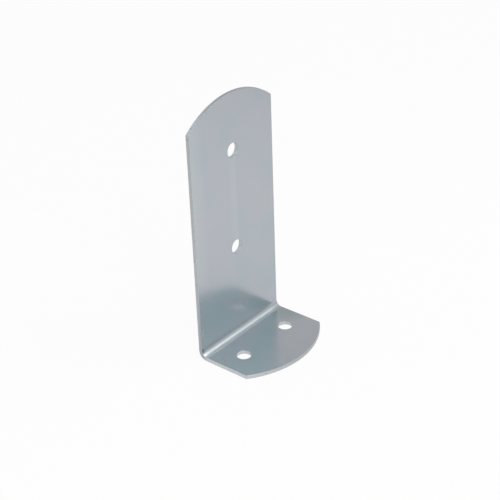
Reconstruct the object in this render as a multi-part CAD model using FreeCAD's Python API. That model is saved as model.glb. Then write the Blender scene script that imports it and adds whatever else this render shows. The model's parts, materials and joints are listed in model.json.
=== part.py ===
import FreeCAD, Part
import math
import os

# Post base: one steel strip, blanked with an arc at each end, pierced with four holes and folded
# once into an L. The tall leaf is screwed to the post and the short leaf is bolted to the ground.
# Frame: the origin is midway between the two anchor holes, on the underside of the foot.
# +Z is up, the foot points to -Y and the post stands against the +Y face.

# Overall sizes, in millimetres
width = 90.0               # across the strip
height = 200.0             # underside of the foot to the crown of the upright
foot_depth = 62.0          # post face to the crown of the foot
sheet = 3.0                # thickness of the strip
bend_radius = 3.0          # inside of the fold

# Blanked outline
crown_radius = 70.0        # arc that ends each leaf
corner_radius = 1.0        # where that arc meets the straight flanks

# Pierced holes
hole_diameter = 11.0       # clears an M10 anchor or a 10 mm coach screw
anchor_spacing = 50.0      # centre to centre in the foot, side by side
anchor_setback = 27.0      # post face to the line of the anchor holes
screw_spacing = 79.0       # centre to centre in the upright, one above the other
lower_screw_height = 77.0  # underside of the foot to the lower of the two

# Edges left by the press tools
die_roll = 0.3             # rounding on the side where a die or punch drew the metal in
edge_break = 0.2           # deburred rim on the other side

# Places that follow from the sizes
half_width = width / 2
post_face_y = anchor_setback
foot_front_y = post_face_y - foot_depth
outer_bend_radius = bend_radius + sheet
fold_y = post_face_y - outer_bend_radius
fold_z = outer_bend_radius
anchor_places = [-anchor_spacing / 2, anchor_spacing / 2]
screw_places = [lower_screw_height, lower_screw_height + screw_spacing]

# Working allowances
overcut = 10.0             # how far a cutting tool runs past the metal
same = 1e-5                # two lengths closer than this are equal


def vector(x, y, z):
    return FreeCAD.Vector(x, y, z)


def straight(start, end):
    return Part.makeLine(vector(*start), vector(*end))


def fold_arc(radius):
    """Quarter circle about the fold's centre, from the foot round to the upright."""
    slant = radius * math.sqrt(0.5)
    at_foot = vector(0, fold_y, fold_z - radius)
    half_way = vector(0, fold_y + slant, fold_z - slant)
    at_upright = vector(0, fold_y + radius, fold_z)
    return Part.Arc(at_foot, half_way, at_upright).toShape()


def folded_strip():
    """The L section at constant thickness, run across the full width."""
    inner_y = post_face_y - sheet
    section = Part.Wire([
        straight((0, foot_front_y, 0), (0, fold_y, 0)),
        fold_arc(outer_bend_radius),
        straight((0, post_face_y, fold_z), (0, post_face_y, height)),
        straight((0, post_face_y, height), (0, inner_y, height)),
        straight((0, inner_y, height), (0, inner_y, fold_z)),
        fold_arc(bend_radius),
        straight((0, fold_y, sheet), (0, foot_front_y, sheet)),
        straight((0, foot_front_y, sheet), (0, foot_front_y, 0)),
    ])
    strip = Part.Face(section).extrude(vector(width, 0, 0))
    strip.translate(vector(-half_width, 0, 0))
    return strip


def leaf_prism(reach, depth):
    """A leaf's outline in X and Z, with its crown at Z = reach, run from Y = 0 to Y = depth.

    Past the flanks the outline steps out level from the ends of the arc, clear of the metal.
    """
    shoulder = reach - crown_radius + math.sqrt(crown_radius**2 - half_width**2)
    side = half_width + overcut
    arc_ends = [vector(-half_width, 0, shoulder), vector(half_width, 0, shoulder)]
    crown = Part.Arc(arc_ends[0], vector(0, 0, reach), arc_ends[1]).toShape()
    rest = Part.makePolygon([
        arc_ends[1],
        vector(side, 0, shoulder),
        vector(side, 0, -overcut),
        vector(-side, 0, -overcut),
        vector(-side, 0, shoulder),
        arc_ends[0],
    ])
    return Part.Face(Part.Wire([crown] + rest.Edges)).extrude(vector(0, depth, 0))


def is_blank_corner(edge):
    """Does this edge run through the sheet where a flank meets a crown?"""
    ends = [point.Point for point in edge.Vertexes]
    on_flank = all(abs(abs(end.x) - half_width) < same for end in ends)
    return on_flank and abs(edge.Length - sheet) < same


def blanked(strip):
    """Trim the strip to the arc-ended outlines of its two leaves and round the four corners."""
    upright = leaf_prism(height, foot_depth + 2 * overcut)
    upright.translate(vector(0, foot_front_y - overcut, 0))
    foot = leaf_prism(foot_depth, height + 2 * overcut)
    foot.rotate(vector(0, 0, 0), vector(1, 0, 0), 90)
    foot.translate(vector(0, post_face_y, -overcut))
    plate = strip.common(upright).common(foot)
    corners = [edge for edge in plate.Edges if is_blank_corner(edge)]
    return plate.makeFillet(corner_radius, corners)


def pierced(plate):
    """Punch the two anchor holes through the foot and the two screw holes through the upright."""
    radius = hole_diameter / 2
    length = sheet + 2 * overcut
    for x in anchor_places:
        below = vector(x, post_face_y - anchor_setback, -overcut)
        plate = plate.cut(Part.makeCylinder(radius, length, below, vector(0, 0, 1)))
    for z in screw_places:
        behind = vector(0, post_face_y + overcut, z)
        plate = plate.cut(Part.makeCylinder(radius, length, behind, vector(0, -1, 0)))
    return plate


def is_skin(face, depth):
    """Does this face lie this deep in the sheet? 0 is outside the fold, the sheet's thickness inside."""
    surface = face.Surface
    if isinstance(surface, Part.Cylinder):
        radius = outer_bend_radius - depth
        return abs(surface.Axis.x) > 0.5 and abs(surface.Radius - radius) < same
    if not isinstance(surface, Part.Plane):
        return False
    on_foot = abs(surface.Axis.z) > 0.5 and abs(surface.Position.z - depth) < same
    on_upright = abs(surface.Axis.y) > 0.5 and abs(surface.Position.y - post_face_y + depth) < same
    return on_foot or on_upright


def is_hole_rim(edge):
    curve = edge.Curve
    return isinstance(curve, Part.Circle) and abs(curve.Radius - hole_diameter / 2) < same


def skin_rims(plate, depth):
    """Edges where the skin at this depth ends: those that only one of its faces holds."""
    edges = [edge for face in plate.Faces if is_skin(face, depth) for edge in face.Edges]
    return [edge for edge in edges if sum(edge.isSame(other) for other in edges) == 1]


def dressed(plate):
    """Round every rim. The die draws the outline in from outside, the punches the holes from inside."""
    for depth, outline_rounding, hole_rounding in (
        (0, die_roll, edge_break),
        (sheet, edge_break, die_roll),
    ):
        outline = [rim for rim in skin_rims(plate, depth) if not is_hole_rim(rim)]
        plate = plate.makeFillet(outline_rounding, outline)
        holes = [rim for rim in skin_rims(plate, depth) if is_hole_rim(rim)]
        plate = plate.makeFillet(hole_rounding, holes)
    return plate


def main():
    bracket = dressed(pierced(blanked(folded_strip()))).Solids[0]
    os.makedirs("parts", exist_ok=True)
    bracket.exportStep("parts/folded_bracket.step")
    box = bracket.optimalBoundingBox()
    print("folded_bracket: %d faces, valid %s" % (len(bracket.Faces), bracket.isValid()))
    print("box %.2f x %.2f x %.2f mm" % (box.XLength, box.YLength, box.ZLength))
    print("volume %.1f mm3" % bracket.Volume)


main()
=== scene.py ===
import json
import math
from functools import partial

import bmesh
import bpy
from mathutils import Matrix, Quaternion, Vector
from mathutils.geometry import delaunay_2d_cdt


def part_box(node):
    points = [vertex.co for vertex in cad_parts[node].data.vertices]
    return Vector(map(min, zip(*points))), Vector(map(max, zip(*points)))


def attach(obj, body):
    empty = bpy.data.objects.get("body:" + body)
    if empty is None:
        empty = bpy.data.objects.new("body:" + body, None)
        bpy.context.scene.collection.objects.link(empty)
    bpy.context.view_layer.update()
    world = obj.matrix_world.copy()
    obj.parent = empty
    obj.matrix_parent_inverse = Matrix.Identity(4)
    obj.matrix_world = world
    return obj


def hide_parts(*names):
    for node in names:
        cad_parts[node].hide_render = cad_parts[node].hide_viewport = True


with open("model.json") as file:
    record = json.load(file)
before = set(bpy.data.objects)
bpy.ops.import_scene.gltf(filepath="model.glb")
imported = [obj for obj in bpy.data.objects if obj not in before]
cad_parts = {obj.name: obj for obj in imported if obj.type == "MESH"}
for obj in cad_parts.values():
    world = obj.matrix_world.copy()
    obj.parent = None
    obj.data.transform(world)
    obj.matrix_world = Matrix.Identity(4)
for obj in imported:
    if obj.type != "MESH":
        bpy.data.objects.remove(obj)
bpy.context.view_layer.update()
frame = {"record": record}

# A post base: one strip of steel, blanked, pierced and folded once, then bright zinc plated.
# The sheet is laid out flat, as the blank was, and each point of it is then folded into place.
# In the flat, x goes across the strip. Run goes along it: it is 0 where the foot meets the fold and
# grows towards the upright. Depth goes through it, from the skin outside the fold to the skin inside.
# Lengths are in metres.

MM = 0.001

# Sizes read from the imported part
low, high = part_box("folded_bracket")
bores = [mount for mount in frame["record"]["mounts"] if mount["kind"] == "bore"]
half_width = high.x
post_face_y = high.y
foot_front_y = low.y
height = high.z
sheet = bores[0]["dims"]["length_mm"] * MM
hole_radius = bores[0]["dims"]["r_mm"] * MM

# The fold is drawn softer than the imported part's, by two millimetres of inside radius
bend_radius = 5.0 * MM

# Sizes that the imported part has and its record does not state
crown_radius = 70.0 * MM
corner_radius = 1.0 * MM
die_roll = 0.3 * MM
edge_break = 0.2 * MM

# What the press leaves on a sheared edge and on the ends of the fold
land_depth = 1.2 * MM         # the tool burnishes the edge down to here from the rolled skin
land_wander = 0.16 * MM       # how unevenly that land ends
torn_step = 0.03 * MM         # the torn part starts with a small step back
break_taper = 0.10 * MM       # and leans back by this much in all
end_swell = 0.45 * MM         # the fold's ends swell on its inside and draw in on its outside
end_thinning = 0.60 * MM      # and at the right end the sheet thins from its inside
end_reach = 7.0 * MM          # how far along the fold that is felt
fold_flat = 0.20 * MM         # the punch's nose left the fold this much flatter at its left end
flat_skew = 0.64              # mostly on the foot's side of the fold

# The slow waves in how the land ends: the length of each, its share and where it starts
land_waves = ((41.0 * MM, 0.5, 0.3), (17.0 * MM, 0.3, 1.9), (6.5 * MM, 0.2, 4.1))

# How finely the sheet is divided
skin_step = 4.0 * MM          # squares of the flat leaves
rim_clearance = 2.4 * MM      # their corners keep this far from the rims
fold_rows = 28
roll_steps = 6
break_steps = 3
corner_steps = 6
crown_steps = 96
hole_steps = 96
rim_margin = 0.12 * MM        # a narrow flat beside each rim keeps the leaf's shading true
same_place = 1e-5             # points of a leaf closer than this many millimetres are one

# Places that follow
outer_bend_radius = bend_radius + sheet
fold_y = post_face_y - outer_bend_radius
fold_z = outer_bend_radius
fold_run = math.pi / 2 * (bend_radius + sheet / 2)
foot_reach = fold_y - foot_front_y
upright_reach = height - fold_z


def folded(x, run, depth):
    """Where a point of the flat blank lands when the strip is folded."""
    share = min(max(run / fold_run, 0.0), 1.0)
    turn = share * math.pi / 2
    at_end = max(0.0, 1 - (half_width - abs(x)) / end_reach) ** 2 * math.sin(2 * turn) ** 2
    nose_mark = (half_width - x) / (2 * half_width) * math.sin(math.pi * share**flat_skew) ** 2
    thinning = end_thinning * at_end if x > 0 else 0.0
    radius = outer_bend_radius - depth * (1 - (thinning - fold_flat * nose_mark) / sheet)
    x += math.copysign(end_swell * at_end * (2 * depth / sheet - 1), x)
    y = fold_y + radius * math.sin(turn) + min(run, 0.0)
    z = fold_z - radius * math.cos(turn) + max(run - fold_run, 0.0)
    return Vector((x, y, z))


def arc(centre, radius, start, end, steps):
    """Points of an arc, its two ends included."""
    angles = [start + (end - start) * step / steps for step in range(steps + 1)]
    x, along = centre
    return [(x + radius * math.cos(angle), along + radius * math.sin(angle)) for angle in angles]


def leaf_edge(reach, inset):
    """A leaf's edge from the fold on the right, round the crown and back to the fold on the left.

    The second number of each point is its distance from the fold.
    """
    corner_x = half_width - corner_radius
    crown_centre = reach - crown_radius
    flank_end = crown_centre + math.sqrt((crown_radius - corner_radius) ** 2 - corner_x**2)
    corner_turn = math.atan2(flank_end - crown_centre, corner_x)
    flank_steps = round(flank_end / skin_step)
    flank = [(half_width - inset, flank_end * step / flank_steps) for step in range(flank_steps)]
    corner = arc((corner_x, flank_end), corner_radius - inset, 0, corner_turn, corner_steps)
    crown = arc((0, crown_centre), crown_radius - inset, corner_turn, math.pi / 2, crown_steps // 2)
    right = flank + corner + crown[1:]
    left = [(-x, distance) for x, distance in reversed(right[:-1])]
    return right + left


def blank_edge(inset):
    """The blank's outline, drawn in by inset.

    It goes round the upright, the fold's left end, the foot and the fold's right end.
    """
    side = half_width - inset
    rows = [fold_run * row / fold_rows for row in range(1, fold_rows)]
    upright = [(x, fold_run + distance) for x, distance in leaf_edge(upright_reach, inset)]
    foot = [(x, -distance) for x, distance in reversed(leaf_edge(foot_reach, inset))]
    left = [(-side, run) for run in reversed(rows)]
    right = [(side, run) for run in rows]
    return upright + left + foot + right


def hole_edge(centre, inset):
    """A pierced hole's outline. Inset draws the metal back, so the circle grows."""
    return arc(centre, hole_radius + inset, 0, 2 * math.pi, hole_steps)[:-1]


def hole_centres(in_foot):
    """The middles, in the flat, of the holes in the foot or in the upright."""
    places = [mount["pos_m"] for mount in bores if (abs(mount["axis"][2]) > 0.5) == in_foot]
    return [(x, y - fold_y if in_foot else fold_run + z - fold_z) for x, y, z in places]


def sheared_levels():
    """Steps down a sheared edge from its rolled skin: inset, depth, share of the land's wander."""
    roll_turns = [math.pi / 2 * step / roll_steps for step in range(roll_steps + 1)]
    break_turns = [math.pi / 2 * step / break_steps for step in range(break_steps + 1)]
    levels = [(die_roll + rim_margin, 0.0, 0.0)]
    for turn in roll_turns:
        levels.append((die_roll * (1 - math.sin(turn)), die_roll * (1 - math.cos(turn)), 0.0))
    levels.append((0.0, land_depth, 1.0))
    levels.append((torn_step, land_depth + torn_step, 1.0))
    for turn in break_turns:
        inset = break_taper + edge_break * (1 - math.cos(turn))
        levels.append((inset, sheet - edge_break * (1 - math.sin(turn)), 0.0))
    levels.append((break_taper + edge_break + rim_margin, sheet, 0.0))
    return levels


def uneven(along):
    """The slow waves added up, between -1 and 1, at a distance along an edge."""
    turn = 2 * math.pi * along
    return sum(share * math.sin(turn / length + start) for length, share, start in land_waves)


class Blank:
    """The sheet while it is being made: its mesh, and where each of its points lies in the flat."""

    # The surfaces, by their places in the piece's list of materials
    SKIN, CUT, BORE = 0, 1, 2

    def __init__(self):
        self.mesh = bmesh.new()
        self.layout = self.mesh.loops.layers.uv.new("blank_layout")
        self.flat = {}

    def point(self, x, run, depth):
        """A point of the sheet, folded into place."""
        vertex = self.mesh.verts.new(folded(x, run, depth))
        self.flat[vertex] = (x, run)
        return vertex

    def face(self, corners, surface, layout=None):
        """A face of the skin, laid out as in the flat, or of a cut, laid out along and through it."""
        made = self.mesh.faces.new(corners)
        made.material_index = surface
        made.smooth = True
        places = layout or [self.flat[corner] for corner in corners]
        for loop, place in zip(made.loops, places):
            loop[self.layout].uv = place

    def sheared_edge(self, edge_at, rolled_outside):
        """The wall of an outline or a hole. Returns its rings on the outside and the inside skin."""
        line = edge_at(0.0)
        along = [0.0]
        for start, end in zip(line, line[1:] + line[:1]):
            along.append(along[-1] + math.dist(start, end))
        levels = sheared_levels()
        rings = []
        for inset, depth, share in levels:
            depths = [depth + share * land_wander * uneven(distance) for distance in along]
            if not rolled_outside:
                depths = [sheet - from_inside for from_inside in depths]
            ring = zip(edge_at(inset), depths)
            rings.append([self.point(x, run, through) for (x, run), through in ring])
        wall = self.CUT if rolled_outside else self.BORE
        land_start = 1 + roll_steps
        for level, (upper, lower) in enumerate(zip(rings, rings[1:])):
            is_cut = land_start <= level < len(levels) - 2
            top, bottom = levels[level][1], levels[level + 1][1]
            for index in range(len(line)):
                after = (index + 1) % len(line)
                corners = (upper[index], upper[after], lower[after], lower[index])
                here, there = along[index], along[index + 1]
                cut = ((here, top), (there, top), (there, bottom), (here, bottom))
                self.face(corners, wall if is_cut else self.SKIN, cut if is_cut else None)
        return (rings[0], rings[-1]) if rolled_outside else (rings[-1], rings[0])

    def leaf(self, in_foot, border, holes, columns, depth):
        """Fill one skin of the foot or the upright between its border and its holes."""
        reach = foot_reach if in_foot else upright_reach
        centres = hole_centres(in_foot)
        crown_centre = reach - crown_radius
        crown_limit = crown_radius - rim_clearance
        hole_limit = hole_radius + die_roll + rim_clearance
        inner = []
        for row in range(1, int(reach / skin_step)):
            distance = row * skin_step
            run = -distance if in_foot else fold_run + distance
            for x in columns:
                in_crown = math.hypot(x, max(0.0, distance - crown_centre)) < crown_limit
                in_metal = all(math.dist((x, run), centre) > hole_limit for centre in centres)
                if in_crown and in_metal:
                    inner.append(self.point(x, run, depth))
        corners = []
        edges = []
        for ring in [border] + holes:
            first = len(corners)
            edges += [(first + index, first + (index + 1) % len(ring)) for index in range(len(ring))]
            corners += ring
        corners += inner
        places = [Vector(self.flat[corner]) / MM for corner in corners]
        triangles_inside = 1
        triangles, sources = delaunay_2d_cdt(places, edges, [], triangles_inside, same_place)[2:4]
        for triangle in triangles:
            trio = [corners[sources[index][0]] for index in triangle]
            if not any(set(trio) <= set(hole) for hole in holes):
                self.face(trio, self.SKIN)

    def skin(self, outline, foot_holes, upright_holes, depth):
        """One side of the sheet: the upright, the fold and the foot, between the rings given."""
        upright_size = len(leaf_edge(upright_reach, 0.0))
        foot_size = len(leaf_edge(foot_reach, 0.0))
        foot_left = upright_size - 1 + fold_rows
        foot_right = foot_left + foot_size - 1
        side = self.flat[outline[0]][0]
        count = round(2 * side / skin_step)
        columns = [side * (2 * step / count - 1) for step in range(1, count)]
        rows = []
        for row in range(fold_rows + 1):
            run = fold_run * row / fold_rows
            left_end = outline[foot_left - row]
            right_end = outline[(foot_right + row) % len(outline)]
            rows.append([left_end] + [self.point(x, run, depth) for x in columns] + [right_end])
        for lower, upper in zip(rows, rows[1:]):
            for left in range(count):
                right = left + 1
                self.face((lower[left], lower[right], upper[right], upper[left]), self.SKIN)
        upright_border = outline[:upright_size] + rows[-1][1:-1]
        foot_border = outline[foot_left:foot_right + 1] + rows[0][-2:0:-1]
        self.leaf(False, upright_border, upright_holes, columns, depth)
        self.leaf(True, foot_border, foot_holes, columns, depth)


def folded_sheet():
    """The whole piece: its outline is rolled in from outside the fold, its holes from inside."""
    blank = Blank()
    outline = blank.sheared_edge(blank_edge, True)
    foot_holes, upright_holes = [
        [blank.sheared_edge(partial(hole_edge, centre), False) for centre in hole_centres(in_foot)]
        for in_foot in (True, False)
    ]
    for side, depth in ((0, 0.0), (1, sheet)):
        foot_rims = [hole[side] for hole in foot_holes]
        upright_rims = [hole[side] for hole in upright_holes]
        blank.skin(outline[side], foot_rims, upright_rims, depth)
    bmesh.ops.recalc_face_normals(blank.mesh, faces=blank.mesh.faces[:])
    mesh = bpy.data.meshes.new("zinc_plated_post_base")
    blank.mesh.to_mesh(mesh)
    blank.mesh.free()
    piece = bpy.data.objects.new("zinc_plated_post_base", mesh)
    bpy.context.scene.collection.objects.link(piece)
    piece.modifiers.new("flat_faces_stay_flat", "WEIGHTED_NORMAL")
    return piece


def linear(code):
    """A colour written as sRGB hex, as linear red, green, blue and alpha."""
    levels = [int(code[place:place + 2], 16) / 255 for place in (1, 3, 5)]
    shares = [
        level / 12.92 if level <= 0.04045 else ((level + 0.055) / 1.055) ** 2.4
        for level in levels
    ]
    return (*shares, 1.0)


def add_node(tree, kind, inputs=None, stops=(), **settings):
    """Add a node with its settings. Each input is given a value or a socket to link from.

    The stops of a colour ramp are pairs of position and hex code.
    """
    made = tree.nodes.new("ShaderNode" + kind)
    for name, value in settings.items():
        setattr(made, name, value)
    for socket, value in (inputs or {}).items():
        if isinstance(value, bpy.types.NodeSocket):
            tree.links.new(value, made.inputs[socket])
        else:
            made.inputs[socket].default_value = value
    for index, (position, code) in enumerate(stops):
        elements = made.color_ramp.elements
        element = elements[index] if index < len(elements) else elements.new(position)
        element.position = position
        element.color = linear(code)
    return made


def new_material(name):
    """A material with no nodes yet, and its tree."""
    material = bpy.data.materials.new(name)
    material.use_nodes = True
    material.node_tree.nodes.clear()
    return material, material.node_tree


# A Mix node's two colours among its inputs, and the mixed colour among its outputs
FIRST, SECOND, MIXED = 6, 7, 2

# Most of a noise texture's values lie between these
noise_low = 0.3
noise_high = 0.7

# Bright zinc on rolled sheet
film_cloud = 34.0 * MM        # slow change of the passivation film's tint
grain_width = 1.1 * MM        # marks of the rolls, truly 0.3 mm wide, drawn coarse enough to show
grain_length = 38.0 * MM
smooth_roughness = 0.18       # between those marks
grain_roughness = 0.20        # and in them
foot_dulling = 0.02           # the foot is rougher than the upright by this much
dulled_from = 42.0 * MM       # which starts so far up the upright
dulled_to = 18.0 * MM         # and is complete here
ripple = 13.0 * MM            # slow waves that bend what the sheet mirrors
ripple_height = 0.012 * MM
lean = 0.009                  # slope by which the upright leans over the foot, shown in what it mirrors
peel = 1.3 * MM               # fine unevenness of the plating
peel_height = 0.0006 * MM

# What the baths left on it, a paler strip by the upright's left edge, and painted shade on the foot
drain_in = (-7.0 * MM, -1.0 * MM)   # they ran down the front between the holes: where that sets in
drain_out = (0.5 * MM, 3.5 * MM)    # and where it fades out, across the strip
drain_share = 0.5
pale_strip_width = 14.0 * MM      # the film is paler along the upright's left edge
pale_strip_from = 40.0 * MM       # which starts so far up the upright
pale_strip_to = 60.0 * MM         # and is complete here
pale_strip_share = 0.30
corner_shade_middle = (half_width, -6.0 * MM, 0.0)   # painted shade on the foot, darkest by the fold's right end
corner_shade_reach = (20.0 * MM, 20.0 * MM, 1.0)
corner_shade_full = 0.62             # share of the way to that middle where it is complete

# What the press did to it in the fold, and painted light at the fold's left end
fold_blur = 1.0 * MM          # the change starts so far outside the fold and is complete so far inside
stretch = 1.3 * MM            # grain that opened up where the skin stretched
stretch_height = 0.080 * MM
fold_dulling = 0.12           # and that roughened it
end_highlight_reach = 6.0 * MM      # a painted highlight on the fold's left end, over this length
end_highlight_turn = 0.40           # and this far round it
end_highlight_core = 1.2 * MM       # fully so within this distance
end_highlight_edge = 2.4 * MM       # and not beyond this one
end_shade_reach = 2.8 * MM        # and a painted dark spot of shade in the crease at that end
end_shade_drop = 1.0 * MM         # so far below where the upright starts


def distance_along(tree, flat, run):
    """How far along the strip a point of the flat lies from the run given."""
    beyond = add_node(tree, "Math", {0: flat.outputs["Y"], 1: run}, operation="SUBTRACT")
    return add_node(tree, "Math", {0: beyond.outputs[0]}, operation="ABSOLUTE").outputs[0]


def clouded_film(tree, place):
    """The film's own tint, which changes slowly over the sheet."""
    clouds = add_node(tree, "TexNoise", {
        "Vector": place.outputs["Object"],
        "Scale": 1 / film_cloud,
        "Detail": 2.0,
        "Roughness": 0.55,
    })
    tints = ((0.30, "#B3BDC2"), (0.45, "#B7BDC3"), (0.55, "#B9BDC4"), (0.70, "#BBBEC3"))
    return add_node(tree, "ValToRGB", {0: clouds.outputs["Fac"]}, stops=tints).outputs["Color"]


def drained_film(tree, place, flat, film):
    """The film with its paler run down the front of the upright, between the holes."""
    solid = add_node(tree, "SeparateXYZ", {0: place.outputs["Object"]})
    on_front = add_node(tree, "MapRange", {
        "Value": solid.outputs["Y"],
        "From Min": post_face_y,
        "From Max": post_face_y - sheet,
        "To Max": drain_share,
    })
    left_of_end = add_node(tree, "MapRange", {
        "Value": flat.outputs["X"],
        "From Min": drain_out[1],
        "From Max": drain_out[0],
        "To Max": on_front.outputs[0],
    }, interpolation_type="SMOOTHSTEP")
    across = add_node(tree, "MapRange", {
        "Value": flat.outputs["X"],
        "From Min": drain_in[0],
        "From Max": drain_in[1],
        "To Max": left_of_end.outputs[0],
    }, interpolation_type="SMOOTHSTEP")
    lower_hole, upper_hole = sorted(run for x, run in hole_centres(False))
    between_holes = add_node(tree, "Math", {
        0: flat.outputs["Y"],
        1: (lower_hole + upper_hole) / 2,
        2: (upper_hole - lower_hole) / 2,
    }, operation="COMPARE")
    drained = add_node(tree, "Math", {
        0: across.outputs[0],
        1: between_holes.outputs[0],
    }, operation="MULTIPLY")
    return add_node(tree, "Mix", {
        "Factor": drained.outputs[0],
        FIRST: film,
        SECOND: linear("#BCC4C9"),
    }, data_type="RGBA").outputs[MIXED]


def pale_strip_film(tree, flat, film):
    """The film with its paler strip along the upright's left edge."""
    up_the_upright = add_node(tree, "MapRange", {
        "Value": flat.outputs["Y"],
        "From Min": fold_run + pale_strip_from,
        "From Max": fold_run + pale_strip_to,
        "To Max": pale_strip_share,
    })
    pale_strip = add_node(tree, "MapRange", {
        "Value": flat.outputs["X"],
        "From Min": pale_strip_width - half_width,
        "From Max": -half_width,
        "To Max": up_the_upright.outputs[0],
    })
    return add_node(tree, "Mix", {
        "Factor": pale_strip.outputs[0],
        FIRST: film,
        SECOND: linear("#D0D2D4"),
    }, data_type="RGBA").outputs[MIXED]


def fold_corner_painted_shade(tree, layout, in_fold, film):
    """The film with painted shade on the foot by the fold's right end, which stops at the fold."""
    patch = add_node(tree, "Mapping", {
        "Vector": layout.outputs["UV"],
        "Location": corner_shade_middle,
        "Scale": corner_shade_reach,
    }, vector_type="TEXTURE")
    nearness = add_node(tree, "TexGradient", {0: patch.outputs[0]}, gradient_type="SPHERICAL")
    off_fold = add_node(tree, "Math", {0: 1.0, 1: in_fold}, operation="SUBTRACT")
    corner_shade = add_node(tree, "MapRange", {
        "Value": nearness.outputs["Fac"],
        "From Max": corner_shade_full,
        "To Max": off_fold.outputs[0],
    })
    return add_node(tree, "Mix", {
        "Factor": corner_shade.outputs[0],
        FIRST: film,
        SECOND: linear("#A6B1B5"),
    }, data_type="RGBA").outputs[MIXED]


def fold_end_painted_light(tree, place, flat, film):
    """The film with a painted highlight and a painted dark spot of shade at the fold's left end."""
    at_left_end = add_node(tree, "MapRange", {
        "Value": flat.outputs["X"],
        "From Min": end_highlight_reach - half_width,
        "From Max": -half_width,
    })
    end_highlight = add_node(tree, "MapRange", {
        "Value": distance_along(tree, flat, end_highlight_turn * fold_run),
        "From Min": end_highlight_edge,
        "From Max": end_highlight_core,
        "To Max": at_left_end.outputs[0],
    })
    highlighted_film = add_node(tree, "Mix", {
        "Factor": end_highlight.outputs[0],
        FIRST: film,
        SECOND: linear("#DADFE3"),
    }, data_type="RGBA")
    from_end_shade = add_node(tree, "VectorMath", {
        0: place.outputs["Object"],
        1: (-half_width, post_face_y - sheet, fold_z - end_shade_drop),
    }, operation="DISTANCE")
    end_shade = add_node(tree, "MapRange", {
        "Value": from_end_shade.outputs["Value"],
        "From Min": end_shade_reach,
        "From Max": 0.0,
    })
    return add_node(tree, "Mix", {
        "Factor": end_shade.outputs[0],
        FIRST: highlighted_film.outputs[MIXED],
        SECOND: linear("#5E656A"),
    }, data_type="RGBA").outputs[MIXED]


def sheet_roughness(tree, layout, flat, in_fold):
    """Smooth, with faint marks of the rolls along the strip, and duller on the foot and in the fold."""
    rolled = add_node(tree, "Mapping", {
        "Vector": layout.outputs["UV"],
        "Scale": (1 / grain_width, 1 / grain_length, 1.0),
    })
    grain = add_node(tree, "TexNoise", {"Vector": rolled.outputs[0], "Scale": 1.0, "Detail": 3.0})
    grained = add_node(tree, "MapRange", {
        "Value": grain.outputs["Fac"],
        "From Min": noise_low,
        "From Max": noise_high,
        "To Min": smooth_roughness,
        "To Max": grain_roughness,
    })
    dulling = add_node(tree, "MapRange", {
        "Value": flat.outputs["Y"],
        "From Min": fold_run + dulled_from,
        "From Max": fold_run + dulled_to,
        "To Max": foot_dulling,
    })
    dulled = add_node(tree, "Math", {0: grained.outputs[0], 1: dulling.outputs[0]}, operation="ADD")
    return add_node(tree, "Math", {
        0: in_fold,
        1: fold_dulling,
        2: dulled.outputs[0],
    }, operation="MULTIPLY_ADD").outputs[0]


def sheet_relief(tree, place, flat, in_fold):
    """Slow ripples, the upright's lean, the fine unevenness of the plating and the fold's open grain."""
    waves = add_node(tree, "TexNoise", {
        "Vector": place.outputs["Object"],
        "Scale": 1 / ripple,
        "Detail": 1.0,
    })
    rippled = add_node(tree, "Bump", {"Height": waves.outputs["Fac"], "Distance": ripple_height})
    past_fold = add_node(tree, "Math", {0: flat.outputs["Y"], 1: fold_run}, operation="MAXIMUM")
    leaning = add_node(tree, "Bump", {
        "Height": past_fold.outputs[0],
        "Distance": lean,
        "Normal": rippled.outputs[0],
    })
    pores = add_node(tree, "TexNoise", {
        "Vector": place.outputs["Object"],
        "Scale": 1 / peel,
        "Detail": 2.0,
    })
    peeled = add_node(tree, "Bump", {
        "Height": pores.outputs["Fac"],
        "Distance": peel_height,
        "Normal": leaning.outputs[0],
    })
    opened = add_node(tree, "TexNoise", {
        "Vector": place.outputs["Object"],
        "Scale": 1 / stretch,
        "Detail": 3.0,
    })
    return add_node(tree, "Bump", {
        "Height": opened.outputs["Fac"],
        "Distance": stretch_height,
        "Strength": in_fold,
        "Normal": peeled.outputs[0],
    }).outputs[0]


def zinc_plated_sheet():
    """Cold-rolled steel under bright zinc with a clear blue passivation.

    It is a soft, pale blue mirror. The film over it clouds slowly between green, violet and neutral
    tints, with a run from the baths and a paler strip by the upright's left edge. It has painted shade
    on the foot by the fold's right end, and a painted highlight and painted shade at the fold's left
    end.
    The mirrored shapes ripple a little, and the fold is duller.
    """
    material, tree = new_material("zinc_plated_sheet")
    place = add_node(tree, "TexCoord")
    layout = add_node(tree, "UVMap", uv_map="blank_layout")
    flat = add_node(tree, "SeparateXYZ", {0: layout.outputs["UV"]})
    in_fold = add_node(tree, "MapRange", {
        "Value": distance_along(tree, flat, fold_run / 2),
        "From Min": fold_run / 2 + fold_blur,
        "From Max": fold_run / 2 - fold_blur,
    }).outputs[0]
    film = clouded_film(tree, place)
    film = drained_film(tree, place, flat, film)
    film = pale_strip_film(tree, flat, film)
    # painted shade on the foot by the fold's right end
    film = fold_corner_painted_shade(tree, layout, in_fold, film)
    # a painted highlight and painted shade at the fold's left end
    film = fold_end_painted_light(tree, place, flat, film)
    shader = add_node(tree, "BsdfPrincipled", {
        "Base Color": film,
        "Metallic": 1.0,
        "Roughness": sheet_roughness(tree, layout, flat, in_fold),
        "Normal": sheet_relief(tree, place, flat, in_fold),
    })
    add_node(tree, "OutputMaterial", {"Surface": shader.outputs["BSDF"]})
    return material


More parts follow.
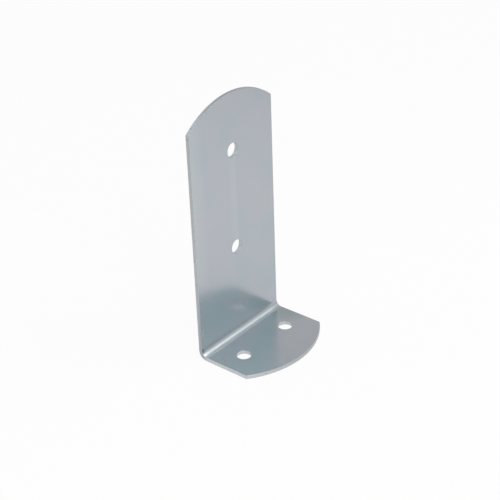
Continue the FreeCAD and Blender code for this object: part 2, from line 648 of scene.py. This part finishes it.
# The sheared edges
land_fade = (-0.1 * MM, 0.2 * MM)   # the land turns into the torn part between these, about its end
land_roughness = 0.28
drag_width = 0.5 * MM         # marks of the tool on it, truly 0.1 mm wide, drawn coarse enough to show
drag_length = 8.0 * MM
torn_roughness = 0.38
torn_grain = 0.6 * MM         # the torn part's coarse grain
torn_height = 0.02 * MM
speck_spacing = 9.0 * MM      # a few spots that the zinc left dark
speck_radius = 0.45 * MM
speck_core = 0.5              # share of that radius that is fully dark

# Painted light and shade on the cut edges: paler where lit, as on the left and the foot, darker where
# shaded
edge_light_left = 1.25             # at the left flank
edge_light_right = 0.8             # from the middle of the strip on
edge_light_foot = 1.0
edge_shade_above_fold = 0.42             # painted shade where the upright leaves the fold
edge_light_upright = 0.88          # further up
edge_light_height = 80.0 * MM      # from here on


def painted_edge_light(tree, place):
    """Painted light on the cut: paler on the left and on the foot, darkest where the upright starts."""
    solid = add_node(tree, "SeparateXYZ", {0: place.outputs["Object"]})
    by_side = add_node(tree, "MapRange", {
        "Value": solid.outputs["X"],
        "From Min": -half_width,
        "From Max": 0.0,
        "To Min": edge_light_left,
        "To Max": edge_light_right,
    })
    by_height = add_node(tree, "MapRange", {
        "Value": solid.outputs["Z"],
        "From Min": fold_z,
        "From Max": edge_light_height,
        "To Min": edge_shade_above_fold,
        "To Max": edge_light_upright,
    })
    by_leaf = add_node(tree, "MapRange", {
        "Value": solid.outputs["Y"],
        "From Min": fold_y,
        "From Max": post_face_y - sheet,
        "To Min": edge_light_foot,
        "To Max": by_height.outputs[0],
    })
    return add_node(tree, "Math", {
        0: by_side.outputs[0],
        1: by_leaf.outputs[0],
    }, operation="MULTIPLY").outputs[0]


def band_colour(tree, pattern, edge_light, tints):
    """A band's colour, from its dark tint to its pale one by its pattern and the painted light on the
    edge.
    """
    shade = add_node(tree, "Math", {0: pattern.outputs["Fac"], 1: edge_light}, operation="MULTIPLY")
    stops = tuple(zip((noise_low, noise_high), tints))
    return add_node(tree, "ValToRGB", {0: shade.outputs[0]}, stops=stops).outputs["Color"]


def specked(tree, layout, colour):
    """The colour given, with the dark spots."""
    cells = add_node(tree, "TexVoronoi", {
        "Vector": layout.outputs["UV"],
        "Scale": 1 / speck_spacing,
    }, voronoi_dimensions="2D")
    speck = add_node(tree, "MapRange", {
        "Value": cells.outputs["Distance"],
        "From Min": speck_radius / speck_spacing,
        "From Max": speck_core * speck_radius / speck_spacing,
    })
    return add_node(tree, "Mix", {
        "Factor": speck.outputs[0],
        FIRST: colour,
        SECOND: linear("#5C6166"),
    }, data_type="RGBA").outputs[MIXED]


def zinc_plated_cut(name, land_tints, torn_tints):
    """A sheared edge or a bore under the same zinc, with a dark and a pale tint for each of its bands,
    which painted light and shade make paler or darker.

    The tool burnished the first band to a bright land with drag marks across the edge. The second
    tore off, and is duller and mottled. The zinc left a few dark specks on both.
    """
    material, tree = new_material(name)
    place = add_node(tree, "TexCoord")
    layout = add_node(tree, "UVMap", uv_map="blank_layout")
    edge = add_node(tree, "SeparateXYZ", {0: layout.outputs["UV"]})
    # painted light and shade on the edge
    edge_light = painted_edge_light(tree, place)
    dragged = add_node(tree, "Mapping", {
        "Vector": layout.outputs["UV"],
        "Scale": (1 / drag_width, 1 / drag_length, 1.0),
    })
    drag = add_node(tree, "TexNoise", {"Vector": dragged.outputs[0], "Scale": 1.0, "Detail": 2.0})
    mottle = add_node(tree, "TexNoise", {
        "Vector": layout.outputs["UV"],
        "Scale": 1 / torn_grain,
        "Detail": 3.0,
    })
    torn = add_node(tree, "MapRange", {
        "Value": edge.outputs["Y"],
        "From Min": land_depth + land_fade[0],
        "From Max": land_depth + land_fade[1],
    })
    banded = add_node(tree, "Mix", {
        "Factor": torn.outputs[0],
        FIRST: band_colour(tree, drag, edge_light, land_tints),
        SECOND: band_colour(tree, mottle, edge_light, torn_tints),
    }, data_type="RGBA")
    roughness = add_node(tree, "MapRange", {
        "Value": torn.outputs[0],
        "To Min": land_roughness,
        "To Max": torn_roughness,
    })
    relief = add_node(tree, "Bump", {
        "Height": mottle.outputs["Fac"],
        "Distance": torn_height,
        "Strength": torn.outputs[0],
    })
    shader = add_node(tree, "BsdfPrincipled", {
        "Base Color": specked(tree, layout, banded.outputs[MIXED]),
        "Metallic": 1.0,
        "Roughness": roughness.outputs[0],
        "Normal": relief.outputs[0],
    })
    add_node(tree, "OutputMaterial", {"Surface": shader.outputs["BSDF"]})
    return material


# The paper floor
floor_radius = 4.0
floor_sides = 128
seen_glow = 0.93              # share of the paper that is its own white where it is looked at
mirrored_glow = 0.7           # and where metal mirrors it
lit_middle = (0.12, -0.16, 0.0)          # a painted pool of light: mirrored, it is brightest in the middle of an oval
lit_reach = (0.6, 0.4, 1.0)
lit_turn = math.radians(-40)
shaded_middle = (0.0, -4.0 * MM, 0.0)    # and a painted shadow darkens it in another, where the foot stands over it
shaded_reach = (36.0 * MM, 25.0 * MM, 1.0)


def matt_white_paper():
    """Matt paper that shows white where looked at or mirrored and keeps its shadow, with painted light
    and shadow where mirrored.
    """
    material, tree = new_material("matt_white_paper")
    light_path = add_node(tree, "LightPath")
    place = add_node(tree, "TexCoord")
    # a painted pool of light on the paper where metal mirrors it
    lit_oval = add_node(tree, "Mapping", {
        "Vector": place.outputs["Object"],
        "Location": lit_middle,
        "Rotation": (0.0, 0.0, lit_turn),
        "Scale": lit_reach,
    }, vector_type="TEXTURE")
    lit = add_node(tree, "TexGradient", {0: lit_oval.outputs[0]}, gradient_type="SPHERICAL")
    # a painted shadow under the foot on the paper where metal mirrors it
    shaded_oval = add_node(tree, "Mapping", {
        "Vector": place.outputs["Object"],
        "Location": shaded_middle,
        "Scale": shaded_reach,
    }, vector_type="TEXTURE")
    shaded = add_node(tree, "TexGradient", {0: shaded_oval.outputs[0]}, gradient_type="SPHERICAL")
    glow = add_node(tree, "MapRange", {
        "Value": shaded.outputs["Fac"],
        "To Min": mirrored_glow,
        "To Max": 0.0,
    })
    seen = light_path.outputs["Is Camera Ray"]
    level = add_node(tree, "Math", {0: lit.outputs["Fac"], 1: seen}, operation="MAXIMUM")
    tone = add_node(tree, "ValToRGB", {0: level.outputs[0]}, stops=(
        (0.2, "#D8D8D8"), (0.6, "#F5F5F5"), (1.0, "#FFFFFF"),
    ))
    white = add_node(tree, "Emission", {"Color": tone.outputs["Color"], "Strength": 1.0})
    mirrored = add_node(tree, "Math", {
        0: light_path.outputs["Is Glossy Ray"],
        1: glow.outputs[0],
    }, operation="MULTIPLY")
    own_white = add_node(tree, "Math", {
        0: seen,
        1: seen_glow,
        2: mirrored.outputs[0],
    }, operation="MULTIPLY_ADD")
    paper = add_node(tree, "BsdfDiffuse", {"Color": linear("#EDEDED")})
    mixed = add_node(tree, "MixShader", {
        0: own_white.outputs[0],
        1: paper.outputs[0],
        2: white.outputs[0],
    })
    add_node(tree, "OutputMaterial", {"Surface": mixed.outputs[0]})
    return material


def paper_floor():
    """A round of paper that the piece stands on."""
    mesh = bmesh.new()
    bmesh.ops.create_circle(mesh, cap_ends=True, radius=floor_radius, segments=floor_sides)
    data = bpy.data.meshes.new("paper_floor")
    mesh.to_mesh(data)
    mesh.free()
    data.materials.append(matt_white_paper())
    floor = bpy.data.objects.new("paper_floor", data)
    floor.location.z = low.z
    bpy.context.scene.collection.objects.link(floor)


def studio_world():
    """A pale room, a little greyer towards the ceiling. Looked at past the paper it is white."""
    world = bpy.data.worlds.new("pale_room")
    bpy.context.scene.world = world
    world.use_nodes = True
    tree = world.node_tree
    tree.nodes.clear()
    place = add_node(tree, "TexCoord")
    direction = add_node(tree, "SeparateXYZ", {0: place.outputs["Generated"]})
    shade = add_node(tree, "ValToRGB", {0: direction.outputs["Z"]}, stops=(
        (0.0, "#DADADA"), (0.5, "#D8D8D8"), (1.0, "#D2D2D2"),
    ))
    light_path = add_node(tree, "LightPath")
    colour = add_node(tree, "Mix", {
        "Factor": light_path.outputs["Is Camera Ray"],
        FIRST: shade.outputs["Color"],
        SECOND: linear("#FFFFFF"),
    }, data_type="RGBA")
    room = add_node(tree, "Background", {"Color": colour.outputs[MIXED], "Strength": 1.0})
    add_node(tree, "OutputWorld", {"Surface": room.outputs[0]})


# The soft boxes: name, way to it, its distance and its size in metres, brightness and colour
soft_boxes = (
    ("front_soft_box", (0.586, -0.53, 0.60), 1.6, 1.3, 0.33, "#CCFFF0"),
    ("key_soft_box", (0.42, -0.45, 0.79), 1.3, 0.6, 2.15, "#F8F3F3"),
    ("back_soft_box", (-0.25, 0.60, 0.76), 1.2, 0.8, 0.25, "#CBE6FF"),
    ("left_soft_box", (-0.50, -0.66, 0.56), 0.8, 0.6, 1.5, "#FFFEFC"),
)


def soft_box(name, towards, distance, size, brightness, colour):
    """A square soft box that faces the object and looks as bright as given."""
    lamp = bpy.data.lights.new(name, "AREA")
    lamp.color = linear(colour)[:3]
    lamp.shape = "SQUARE"
    lamp.size = size
    lamp.energy = brightness * math.pi * size**2
    box = bpy.data.objects.new(name, lamp)
    way = Vector(towards).normalized()
    middle = (low + high) / 2
    box.location = middle + way * distance
    box.rotation_mode = "QUATERNION"
    box.rotation_quaternion = way.to_track_quat("Z", "Y")
    box.visible_camera = False
    bpy.context.scene.collection.objects.link(box)


# The photograph's camera
camera_azimuth = math.radians(-49.589)
camera_elevation = math.radians(29.826)
camera_roll = math.radians(-2.214)
camera_distance = 922.39 * MM
camera_aim = Vector((-7.772, 4.806, 83.935)) * MM
sensor_width = 36.0           # in millimetres, as is the lens
camera_lens = 91.156
nearest_seen = 0.01
farthest_seen = 20.0


def add_camera():
    """The camera, turned about its line of sight by the roll."""
    data = bpy.data.cameras.new("camera")
    data.sensor_width = sensor_width
    data.lens = camera_lens
    data.clip_start = nearest_seen
    data.clip_end = farthest_seen
    camera = bpy.data.objects.new("camera", data)
    away = Vector((
        math.sin(camera_azimuth) * math.cos(camera_elevation),
        -math.cos(camera_azimuth) * math.cos(camera_elevation),
        math.sin(camera_elevation),
    ))
    camera.location = camera_aim + away * camera_distance
    camera.rotation_mode = "QUATERNION"
    camera.rotation_quaternion = away.to_track_quat("Z", "Y") @ Quaternion((0, 0, 1), camera_roll)
    bpy.context.scene.collection.objects.link(camera)
    bpy.context.scene.camera = camera


bracket = folded_sheet()
for finish in (
    zinc_plated_sheet(),
    zinc_plated_cut("zinc_plated_cut", ("#B6BABE", "#D8DADC"), ("#AEB2B6", "#D8DADC")),
    # the bores' paler tints are painted light on the hole walls
    zinc_plated_cut("zinc_plated_bore", ("#CCD0D4", "#E8EAEC"), ("#C8CCD0", "#E6E8EA")),
):
    bracket.data.materials.append(finish)
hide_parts("folded_bracket")
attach(bracket, "root")

paper_floor()
studio_world()
for box in soft_boxes:
    soft_box(*box)
add_camera()
bpy.context.scene.view_settings.view_transform = "Standard"
